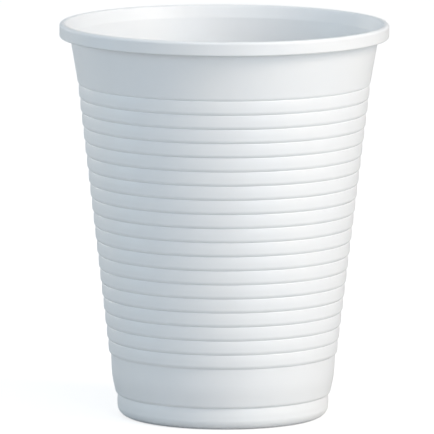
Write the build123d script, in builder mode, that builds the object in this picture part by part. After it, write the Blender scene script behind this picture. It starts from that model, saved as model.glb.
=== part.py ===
"""A disposable drinking cup, thermoformed from one sheet of white plastic.

Foot ring, base, wall, ribs and rolled rim are all bends in the same sheet, so the cup is one piece.
Its section is drawn in the XZ plane and revolved about Z. The cup stands on z = 0, mouth up.
"""

import os

from build123d import *

# Overall size, mm
CUP_HEIGHT = 84.4
RIM_RADIUS = 35.15

# The sheet is thickest where it was stretched least
WALL_THICKNESS = 0.22
BASE_THICKNESS = 0.30
RIM_THICKNESS = 0.30

# Rim: the wall flares out from the neck, turns over the lip, and rolls down and back in
NECK_Z = 81.70
LIP_CORNER_RADIUS = 33.87
LIP_CORNER_SHIFT = 0.65  # how far out the hidden lip corner lies for each mm of thickness
LIP_INNER_ROUND = 0.80
LIP_OUTER_ROUND = 0.70
RIM_DEPTH = 3.05
ROLL_BOTTOM_ROUND = 0.40
ROLL_END_GAP = 0.30

# Plain conical band under the rim
UPPER_BAND_FOOT_RADIUS = 31.36
UPPER_BAND_SLOPE = 0.172

# Ribs: each has a slightly barrelled face, then a convex step in to the groove above the next face
RIB_COUNT = 19
RIB_PITCH = 3.053
FIRST_GROOVE_Z = 71.42
FIRST_RIB_RADIUS = 31.00
RIB_TAPER = 0.358
RIB_BARREL = 0.10
BARREL_DROP = 1.20
FACE_FOOT_INSET = 0.02
STEP_HEIGHT = 0.95

# Plain band under the ribs, which bends in and then steps in to the groove above the foot
LOWER_BAND_BEND_RADIUS = 23.82
LOWER_BAND_BEND_Z = 8.60
LOWER_BAND_FOOT_RADIUS = 23.12
LOWER_BAND_FOOT_Z = 5.40
FOOT_GROOVE_RADIUS = 22.46
FOOT_GROOVE_Z = 4.85

# Foot ring that the cup stands on
FOOT_BULGE_RADIUS = 22.65
FOOT_BULGE_Z = 3.40
FOOT_CORNER_RADIUS = 22.55
FOOT_CORNER_ROUND = 2.20
CONTACT_WIDTH = 0.55
CONTACT_INNER_ROUND = 0.60

# Base panel, raised clear of the floor inside the foot ring, with a shallow central disc
PANEL_UNDERSIDE_Z = 2.80
PANEL_EDGE_RADIUS = 18.50
PANEL_EDGE_ROUND = 0.60
DISC_RADIUS = 12.00
DISC_RISE = 0.50


def groove_z(index):
    """Height of a rib groove, counted down from the top one."""
    return FIRST_GROOVE_Z - RIB_PITCH * index


def rib_radius(index):
    """Outside radius of a rib at its widest, counted down from the top one."""
    return FIRST_RIB_RADIUS - RIB_TAPER * index


def neck_point(inset):
    """Top of the conical band, where the rim begins."""
    rise = NECK_Z - FIRST_GROOVE_Z - STEP_HEIGHT
    return (UPPER_BAND_FOOT_RADIUS + UPPER_BAND_SLOPE * rise - inset, NECK_Z)


def foot_groove_point(inset):
    """Corner where the wall steps in and the foot ring begins."""
    return (FOOT_GROOVE_RADIUS - inset, FOOT_GROOVE_Z + inset)


def draw_wall(neck, inset):
    """One side of the wall, from the neck under the rim down to the foot groove, moved in by inset."""
    band_foot = (UPPER_BAND_FOOT_RADIUS - inset, FIRST_GROOVE_Z + STEP_HEIGHT)
    groove = (rib_radius(0) - RIB_BARREL - inset, groove_z(0))
    band = Line(neck, band_foot)
    TangentArc(band_foot, groove, tangent=band % 1)

    for index in range(RIB_COUNT):
        widest = (rib_radius(index) - inset, groove[1] - BARREL_DROP)
        face_foot = (widest[0] - FACE_FOOT_INSET, groove_z(index + 1) + STEP_HEIGHT)
        next_groove = (rib_radius(index + 1) - RIB_BARREL - inset, groove_z(index + 1))
        face = ThreePointArc(groove, widest, face_foot)
        TangentArc(face_foot, next_groove, tangent=face % 1)
        groove = next_groove

    bend = (LOWER_BAND_BEND_RADIUS - inset, LOWER_BAND_BEND_Z)
    band_foot = (LOWER_BAND_FOOT_RADIUS - inset, LOWER_BAND_FOOT_Z + inset)
    band = Line(groove, bend)
    bent_band = TangentArc(bend, band_foot, tangent=band % 1)
    TangentArc(band_foot, foot_groove_point(inset), tangent=bent_band % 1)


def draw_rim(neck, inset):
    """One side of the rolled rim, from the neck to the free end. Inset 0 is the side that shows."""
    lip_top_radius = RIM_RADIUS - LIP_OUTER_ROUND
    lip_outer_z = CUP_HEIGHT - LIP_OUTER_ROUND
    roll_bottom_z = CUP_HEIGHT - RIM_DEPTH
    roll_face_z = roll_bottom_z + ROLL_BOTTOM_ROUND
    roll_end_radius = neck_point(0)[0] + ROLL_END_GAP

    lip_corner = (LIP_CORNER_RADIUS + LIP_CORNER_SHIFT * inset, CUP_HEIGHT - inset)
    lip_top = (lip_top_radius, CUP_HEIGHT - inset)
    face_top = (RIM_RADIUS - inset, lip_outer_z)
    face_foot = (RIM_RADIUS - inset, roll_face_z)
    roll_bottom = (RIM_RADIUS - ROLL_BOTTOM_ROUND, roll_bottom_z + inset)
    roll_end = (roll_end_radius, roll_bottom_z + inset)

    FilletPolyline(neck, lip_corner, lip_top, radius=LIP_INNER_ROUND - inset)
    RadiusArc(lip_top, face_top, LIP_OUTER_ROUND - inset)
    Line(face_top, face_foot)
    RadiusArc(face_foot, roll_bottom, ROLL_BOTTOM_ROUND - inset)
    Line(roll_bottom, roll_end)
    return roll_end


def draw_base(groove, inset):
    """One side of the foot ring and base panel, from the foot groove to the axis. Inset 0 is underneath."""
    bulge = (FOOT_BULGE_RADIUS - inset, FOOT_BULGE_Z)
    corner_top = (FOOT_CORNER_RADIUS - inset, FOOT_CORNER_ROUND)
    contact_outer = (FOOT_CORNER_RADIUS - FOOT_CORNER_ROUND, inset)
    contact_inner = (contact_outer[0] - CONTACT_WIDTH, inset)
    ring_foot = (contact_inner[0] - CONTACT_INNER_ROUND + inset, CONTACT_INNER_ROUND)
    ring_top = (PANEL_EDGE_RADIUS + PANEL_EDGE_ROUND + inset, PANEL_UNDERSIDE_Z - PANEL_EDGE_ROUND)
    panel_edge = (PANEL_EDGE_RADIUS, PANEL_UNDERSIDE_Z + inset)
    disc_foot = (DISC_RADIUS, PANEL_UNDERSIDE_Z + inset)
    disc_edge = (DISC_RADIUS - DISC_RISE, PANEL_UNDERSIDE_Z + DISC_RISE + inset)
    centre = (0, PANEL_UNDERSIDE_Z + DISC_RISE + inset)

    ThreePointArc(groove, bulge, corner_top)
    RadiusArc(corner_top, contact_outer, FOOT_CORNER_ROUND - inset)
    Line(contact_outer, contact_inner)
    RadiusArc(contact_inner, ring_foot, CONTACT_INNER_ROUND - inset)
    Line(ring_foot, ring_top)
    RadiusArc(ring_top, panel_edge, -PANEL_EDGE_ROUND - inset)
    Polyline(panel_edge, disc_foot, disc_edge, centre)
    return centre


os.makedirs("parts", exist_ok=True)

with BuildPart() as cup:
    with BuildSketch(Plane.XZ):
        with BuildLine():
            draw_wall(neck_point(0), 0)
            draw_wall(neck_point(RIM_THICKNESS), WALL_THICKNESS)
            roll_end_below = draw_rim(neck_point(RIM_THICKNESS), 0)
            roll_end_above = draw_rim(neck_point(0), RIM_THICKNESS)
            Line(roll_end_below, roll_end_above)
            centre_below = draw_base(foot_groove_point(0), 0)
            centre_above = draw_base(foot_groove_point(WALL_THICKNESS), BASE_THICKNESS)
            Line(centre_below, centre_above)
        make_face()
    revolve(axis=Axis.Z)

cup.part.label = "cup"
export_step(cup.part, "parts/cup.step")
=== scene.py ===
"""A disposable drinking cup of white plastic, standing on a pale floor in soft studio light.

The cup is one formed sheet. Its middle line is laid out here from the base to the free end of the rim
roll, the sheet is given its thickness on both sides of that line, and the section is turned about Z.
"""

import math

import bpy
from mathutils import Matrix, Vector


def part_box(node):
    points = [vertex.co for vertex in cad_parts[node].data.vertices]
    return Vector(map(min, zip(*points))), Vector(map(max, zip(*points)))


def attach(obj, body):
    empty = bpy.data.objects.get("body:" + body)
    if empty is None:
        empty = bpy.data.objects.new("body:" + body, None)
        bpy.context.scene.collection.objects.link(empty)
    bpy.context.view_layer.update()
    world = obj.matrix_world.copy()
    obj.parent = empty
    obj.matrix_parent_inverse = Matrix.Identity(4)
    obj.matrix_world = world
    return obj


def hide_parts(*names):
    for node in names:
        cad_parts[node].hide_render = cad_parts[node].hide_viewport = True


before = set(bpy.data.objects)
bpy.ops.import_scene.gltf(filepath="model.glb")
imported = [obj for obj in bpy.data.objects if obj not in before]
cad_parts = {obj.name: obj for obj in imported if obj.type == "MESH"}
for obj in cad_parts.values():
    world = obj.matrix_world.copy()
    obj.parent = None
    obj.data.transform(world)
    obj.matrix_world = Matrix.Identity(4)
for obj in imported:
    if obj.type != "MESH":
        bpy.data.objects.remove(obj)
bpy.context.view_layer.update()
cup_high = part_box("cup")[1]

# Sizes in metres. The overall ones come from the frame. Pairs are (radius, height) on the sheet's middle
# line, and each ROUND is the radius of the bend at the corner it is named after.
CUP_HEIGHT = cup_high.z
RIM_RADIUS = cup_high.x

# The sheet is thickest where it was stretched least
RIM_THICKNESS = 0.00030
WALL_TOP_THICKNESS = 0.00024
WALL_FOOT_THICKNESS = 0.00020
BASE_THICKNESS = 0.00028

# Rim: the wall flares from the neck to the lip, then rolls out and down
NECK = (0.03281, 0.08170)
NECK_ROUND = 0.0010
LIP_CORNER_RADIUS = 0.03397
LIP_INNER_ROUND = 0.00050
LIP_OUTER_ROUND = 0.00045
ROLL_DEPTH = 0.00305
ROLL_BOTTOM_ROUND = 0.00025
ROLL_END_RADIUS = 0.03350

# Plain conical band under the rim
UPPER_BAND_SLOPE = 0.172

# Ribs: each face starts with a small notch under its groove, bows out gently, then steps in to the
# next groove. FACE_TOP, FACE_BOW and STEP_BOW are (outward, upward) from the groove beside them.
RIB_COUNT = 19
RIB_PITCH = 0.003053
FIRST_GROOVE = (0.03073, 0.071420)
RIB_TAPER = 0.000358
FACE_TOP = (0.000135, -0.000170)
FACE_BOW = (0.000210, -0.001040)
STEP_BOW = (0.000465, 0.000370)
GROOVE_ROUND = 0.00013
FACE_TOP_ROUND = 0.00028
FACE_ROUND = 0.0080
STEP_ROUND = 0.00095

# Plain band under the ribs, the shoulder over the foot, and the foot ring
LOWER_BAND_BEND = (0.02371, 0.0086)
LOWER_BAND_ROUND = 0.015
SHOULDER = (0.02292, 0.00512)
SHOULDER_ROUND = 0.00060
FOOT_GROOVE = (0.02235, 0.00480)
FOOT_GROOVE_ROUND = 0.00030
FOOT_BULGE = (0.02250, 0.00340)
FOOT_BULGE_ROUND = 0.008
FOOT_OUTER_RADIUS = 0.02239
FOOT_OUTER_ROUND = 0.00205
FOOT_INNER_RADIUS = 0.01950
FOOT_INNER_ROUND = 0.00045

# Base panel inside the foot ring, with a shallow raised disc
PANEL_EDGE = (0.01918, 0.00295)
PANEL_EDGE_ROUND = 0.00075
DISC_FOOT = (0.0120, 0.00295)
DISC_EDGE = (0.0115, 0.00345)
DISC_ROUND = 0.0005

# Fineness of the turned mesh
TURN_STEPS = 120
DEGREES_PER_BEND_STEP = 20
LONGEST_SPAN = 0.0020
ROLL_END_STEPS = 4

# Camera, from the photograph's view
CAMERA_PLACE = (-0.00142, -1.7949, 0.29621)
CAMERA_DOWN_DEGREES = 8.042
CAMERA_ROLL_DEGREES = 0.22
CAMERA_LENS = 703.4
CAMERA_SENSOR = 36
CAMERA_REACH = 100

# Soft square lights, all aimed at the cup's middle from the same distance. Azimuth 0 is the camera's side
# and 90 its right. Each row is name, azimuth, elevation, side length, power in watts, colour.
LIGHT_DISTANCE = 1.3
LIGHTS = [
    ("key", 60, 35, 0.55, 6.47, (1.11, 0.985, 0.90)),
    ("low_key", 60, 10, 0.55, 2.32, (1.14, 1.01, 0.78)),
    ("front", 30, 10, 0.55, 3.38, (0.85, 1.0, 1.16)),
    ("left", 270, 10, 0.55, 3.18, (0.82, 1.02, 1.17)),
    ("high_front", 0, 60, 0.55, 1.25, (1.0, 1.0, 1.0)),
    ("top", 0, 89, 0.7, 1.93, (0.92, 1.0, 1.09)),
    ("back", 225, 8, 0.55, 2.0, (1.08, 1.0, 0.92)),
]

# Light from all round, and the tone that the backdrop shows
SURROUND_COLOUR = (0.91, 1.0, 1.07, 1)
SURROUND_STRENGTH = 0.357
BACKDROP_COLOUR = (0.90, 0.915, 0.93, 1)

# Floor
FLOOR_HALF_WIDTH = 6.0
FLOOR_COLOUR = (0.5, 0.5, 0.5, 1)
FLOOR_GLOW = 0.72


def sheet_line():
    """The sheet's middle line as (radius, height, bend radius) corners, from the axis out, up and over."""
    under = BASE_THICKNESS / 2
    top = CUP_HEIGHT - RIM_THICKNESS / 2
    roll_radius = RIM_RADIUS - RIM_THICKNESS / 2
    roll_bottom = CUP_HEIGHT - ROLL_DEPTH + RIM_THICKNESS / 2

    corners = [
        (0, DISC_EDGE[1], 0),
        (*DISC_EDGE, DISC_ROUND),
        (*DISC_FOOT, DISC_ROUND),
        (*PANEL_EDGE, PANEL_EDGE_ROUND),
        (FOOT_INNER_RADIUS, under, FOOT_INNER_ROUND),
        (FOOT_OUTER_RADIUS, under, FOOT_OUTER_ROUND),
        (*FOOT_BULGE, FOOT_BULGE_ROUND),
        (*FOOT_GROOVE, FOOT_GROOVE_ROUND),
        (*SHOULDER, SHOULDER_ROUND),
        (*LOWER_BAND_BEND, LOWER_BAND_ROUND),
    ]
    for index in range(RIB_COUNT, -1, -1):
        radius = FIRST_GROOVE[0] - RIB_TAPER * index
        height = FIRST_GROOVE[1] - RIB_PITCH * index
        if index < RIB_COUNT:
            corners.append((radius + FACE_BOW[0], height + FACE_BOW[1], FACE_ROUND))
            corners.append((radius + FACE_TOP[0], height + FACE_TOP[1], FACE_TOP_ROUND))
        corners.append((radius, height, GROOVE_ROUND))
        if index > 0:
            corners.append((radius + STEP_BOW[0], height + STEP_BOW[1], STEP_ROUND))

    band_foot_height = FIRST_GROOVE[1] + STEP_BOW[1]
    band_foot_radius = NECK[0] - UPPER_BAND_SLOPE * (NECK[1] - band_foot_height)
    corners += [
        (band_foot_radius, band_foot_height, STEP_ROUND),
        (*NECK, NECK_ROUND),
        (LIP_CORNER_RADIUS, top, LIP_INNER_ROUND),
        (roll_radius, top, LIP_OUTER_ROUND),
        (roll_radius, roll_bottom, ROLL_BOTTOM_ROUND),
        (ROLL_END_RADIUS, roll_bottom, 0),
    ]
    return corners


def bend_corner(before, corner, after, radius):
    """Points of the arc that rounds one corner, tangent to both runs, each with the line's heading there."""
    heading_in = math.atan2(corner[1] - before[1], corner[0] - before[0])
    heading_out = math.atan2(after[1] - corner[1], after[0] - corner[0])
    turn = math.remainder(heading_out - heading_in, math.tau)
    reach = radius * math.tan(abs(turn) / 2)
    side = math.copysign(1, turn)
    start = (corner[0] - reach * math.cos(heading_in), corner[1] - reach * math.sin(heading_in))
    centre = (
        start[0] - side * radius * math.sin(heading_in),
        start[1] + side * radius * math.cos(heading_in),
    )

    steps = max(2, math.ceil(math.degrees(abs(turn)) / DEGREES_PER_BEND_STEP))
    points = []
    for step in range(steps + 1):
        heading = heading_in + turn * step / steps
        points.append((
            centre[0] + side * radius * math.sin(heading),
            centre[1] - side * radius * math.cos(heading),
            heading,
        ))
    return points


def rounded_line(corners):
    """The middle line as closely spaced (radius, height, heading) points, with every corner bent."""
    first_heading = math.atan2(corners[1][1] - corners[0][1], corners[1][0] - corners[0][0])
    points = [(*corners[0][:2], first_heading)]
    for before, corner, after in zip(corners, corners[1:], corners[2:]):
        points += bend_corner(before, corner, after, corner[2])
    points.append((*corners[-1][:2], points[-1][2]))

    divided = [points[0]]
    for start, end in zip(points, points[1:]):
        spans = max(1, math.ceil(math.dist(start[:2], end[:2]) / LONGEST_SPAN))
        for span in range(1, spans + 1):
            share = span / spans
            divided.append(tuple(a + (b - a) * share for a, b in zip(start, end)))
    return divided


def sheet_thickness(height):
    """Thickness of the sheet where its middle line is at a height."""
    if height > NECK[1]:
        return RIM_THICKNESS
    if height > SHOULDER[1]:
        share = (height - SHOULDER[1]) / (NECK[1] - SHOULDER[1])
        return WALL_FOOT_THICKNESS + (WALL_TOP_THICKNESS - WALL_FOOT_THICKNESS) * share
    return BASE_THICKNESS


def section_loop():
    """The sheet's section as (radius, height, facing) points, facing being the angle the surface looks at.

    It runs under the base, up the outside and along the roll's hidden side to the roll's end, round that
    end, and back over the lip and down the inside to the axis.
    """
    outer = []
    inner = []
    for radius, height, heading in rounded_line(sheet_line()):
        half = sheet_thickness(height) / 2
        out_way = heading - math.pi / 2
        out = half * math.cos(out_way)
        up = half * math.sin(out_way)
        outer.append((radius + out, height + up, out_way))
        inner.append((radius - out, height - up, out_way + math.pi))

    end = []
    for step in range(1, ROLL_END_STEPS):
        facing = out_way + math.pi * step / ROLL_END_STEPS
        end.append((radius + half * math.cos(facing), height + half * math.sin(facing), facing))
    return outer + end + inner[::-1]


def turned_mesh(name, loop, steps):
    """A closed mesh made by turning a section loop, whose two ends lie on the axis, about Z."""
    vertices = [(0, 0, loop[0][1])]
    normals = [(0, 0, -1)]
    for radius, height, facing in loop[1:-1]:
        for step in range(steps):
            angle = math.tau * step / steps
            vertices.append((radius * math.cos(angle), radius * math.sin(angle), height))
            flat = math.cos(facing)
            normals.append((flat * math.cos(angle), flat * math.sin(angle), math.sin(facing)))
    vertices.append((0, 0, loop[-1][1]))
    normals.append((0, 0, 1))

    ring_count = len(loop) - 2
    last = len(vertices) - 1
    faces = []
    for step in range(steps):
        beside = (step + 1) % steps
        faces.append((0, 1 + beside, 1 + step))
        for ring in range(ring_count - 1):
            low = 1 + ring * steps
            high = low + steps
            faces.append((low + step, low + beside, high + beside, high + step))
        top = 1 + (ring_count - 1) * steps
        faces.append((top + step, top + beside, last))

    mesh = bpy.data.meshes.new(name)
    mesh.from_pydata(vertices, [], faces)
    mesh.validate()
    mesh.shade_smooth()
    mesh.normals_split_custom_set_from_vertices(normals)
    piece = bpy.data.objects.new(name, mesh)
    bpy.context.scene.collection.objects.link(piece)
    return piece


def make_camera():
    """The photograph's view: a long lens, a little above the rim."""
    data = bpy.data.cameras.new("camera")
    data.lens = CAMERA_LENS
    data.sensor_width = CAMERA_SENSOR
    data.clip_end = CAMERA_REACH
    camera = bpy.data.objects.new("camera", data)
    camera.location = CAMERA_PLACE
    look_down = Matrix.Rotation(math.radians(90 - CAMERA_DOWN_DEGREES), 3, "X")
    roll = Matrix.Rotation(math.radians(CAMERA_ROLL_DEGREES), 3, "Z")
    camera.rotation_euler = (look_down @ roll).to_euler()
    bpy.context.scene.collection.objects.link(camera)
    bpy.context.scene.camera = camera


def white_plastic():
    """Satin white polystyrene: a little light passes through, and drawing has left faint upright streaks."""
    material = bpy.data.materials.new("white_plastic")
    material.use_nodes = True
    nodes = material.node_tree.nodes
    links = material.node_tree.links
    shader = nodes["Principled BSDF"]
    shader.inputs["IOR"].default_value = 1.5
    shader.inputs["Subsurface Weight"].default_value = 0.6
    shader.inputs["Subsurface Radius"].default_value = (1.0, 1.0, 1.0)
    shader.inputs["Subsurface Scale"].default_value = 0.0003

    place = nodes.new("ShaderNodeTexCoord")

    cloud = nodes.new("ShaderNodeTexNoise")
    cloud.inputs["Scale"].default_value = 60
    cloud.inputs["Detail"].default_value = 3
    links.new(place.outputs["Object"], cloud.inputs["Vector"])

    tint = nodes.new("ShaderNodeValToRGB")
    tint.color_ramp.elements[0].position = 0.3
    tint.color_ramp.elements[0].color = (0.885, 0.903, 0.917, 1)
    tint.color_ramp.elements[1].position = 0.7
    tint.color_ramp.elements[1].color = (0.905, 0.918, 0.927, 1)
    links.new(cloud.outputs["Fac"], tint.inputs["Fac"])
    links.new(tint.outputs["Color"], shader.inputs["Base Color"])

    shine = nodes.new("ShaderNodeMapRange")
    shine.inputs["To Min"].default_value = 0.36
    shine.inputs["To Max"].default_value = 0.46
    links.new(cloud.outputs["Fac"], shine.inputs["Value"])
    links.new(shine.outputs["Result"], shader.inputs["Roughness"])

    streak_stretch = nodes.new("ShaderNodeMapping")
    streak_stretch.inputs["Scale"].default_value = (1, 1, 0.06)
    links.new(place.outputs["Object"], streak_stretch.inputs["Vector"])
    streaks = nodes.new("ShaderNodeTexNoise")
    streaks.inputs["Scale"].default_value = 700
    streaks.inputs["Detail"].default_value = 2
    links.new(streak_stretch.outputs["Vector"], streaks.inputs["Vector"])

    bump = nodes.new("ShaderNodeBump")
    bump.inputs["Strength"].default_value = 0.15
    bump.inputs["Distance"].default_value = 0.00002
    links.new(streaks.outputs["Fac"], bump.inputs["Height"])
    links.new(bump.outputs["Normal"], shader.inputs["Normal"])
    return material


def floor_material():
    """A pale floor that looks white and sends less light back up at the cup than it shows."""
    material = bpy.data.materials.new("floor")
    material.use_nodes = True
    nodes = material.node_tree.nodes
    links = material.node_tree.links
    nodes.clear()
    output = nodes.new("ShaderNodeOutputMaterial")
    seen = nodes.new("ShaderNodeLightPath")
    matte = nodes.new("ShaderNodeBsdfDiffuse")
    matte.inputs["Color"].default_value = FLOOR_COLOUR
    glow = nodes.new("ShaderNodeEmission")
    glow.inputs["Color"].default_value = (1, 1, 1, 1)
    glow.inputs["Strength"].default_value = FLOOR_GLOW
    both = nodes.new("ShaderNodeAddShader")
    pick = nodes.new("ShaderNodeMixShader")
    links.new(matte.outputs["BSDF"], both.inputs[0])
    links.new(glow.outputs["Emission"], both.inputs[1])
    links.new(seen.outputs["Is Camera Ray"], pick.inputs["Fac"])
    links.new(matte.outputs["BSDF"], pick.inputs[1])
    links.new(both.outputs["Shader"], pick.inputs[2])
    links.new(pick.outputs["Shader"], output.inputs["Surface"])
    return material


def make_floor():
    """A square floor at the height of the cup's foot."""
    half = FLOOR_HALF_WIDTH
    corners = [(-half, -half, 0), (half, -half, 0), (half, half, 0), (-half, half, 0)]
    mesh = bpy.data.meshes.new("floor")
    mesh.from_pydata(corners, [], [(0, 1, 2, 3)])
    mesh.materials.append(floor_material())
    floor = bpy.data.objects.new("floor", mesh)
    bpy.context.scene.collection.objects.link(floor)


def soft_light(name, azimuth, elevation, side, power, colour):
    """One square soft light, aimed at the cup's middle."""
    data = bpy.data.lights.new(name, "AREA")
    data.shape = "SQUARE"
    data.size = side
    data.energy = power
    data.color = colour
    azimuth = math.radians(azimuth)
    elevation = math.radians(elevation)
    middle = Vector((0, 0, CUP_HEIGHT / 2))
    from_middle = LIGHT_DISTANCE * Vector((
        math.cos(elevation) * math.sin(azimuth),
        -math.cos(elevation) * math.cos(azimuth),
        math.sin(elevation),
    ))
    light = bpy.data.objects.new(name, data)
    light.location = middle + from_middle
    light.rotation_euler = (-from_middle).to_track_quat("-Z", "Y").to_euler()
    bpy.context.scene.collection.objects.link(light)


def make_world():
    """Even light from all round, and a backdrop that shows as pale as the far floor."""
    world = bpy.data.worlds.new("studio")
    world.use_nodes = True
    nodes = world.node_tree.nodes
    links = world.node_tree.links
    light = nodes["Background"]
    light.inputs["Color"].default_value = SURROUND_COLOUR
    light.inputs["Strength"].default_value = SURROUND_STRENGTH
    backdrop = nodes.new("ShaderNodeBackground")
    backdrop.inputs["Color"].default_value = BACKDROP_COLOUR
    seen = nodes.new("ShaderNodeLightPath")
    pick = nodes.new("ShaderNodeMixShader")
    links.new(seen.outputs["Is Camera Ray"], pick.inputs["Fac"])
    links.new(light.outputs["Background"], pick.inputs[1])
    links.new(backdrop.outputs["Background"], pick.inputs[2])
    links.new(pick.outputs["Shader"], nodes["World Output"].inputs["Surface"])
    bpy.context.scene.world = world


make_camera()
bpy.context.scene.view_settings.view_transform = "Standard"

cup = turned_mesh("cup_shell", section_loop(), TURN_STEPS)
cup.data.materials.append(white_plastic())
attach(cup, "root")
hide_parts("cup")

make_floor()
make_world()
for light_row in LIGHTS:
    soft_light(*light_row)
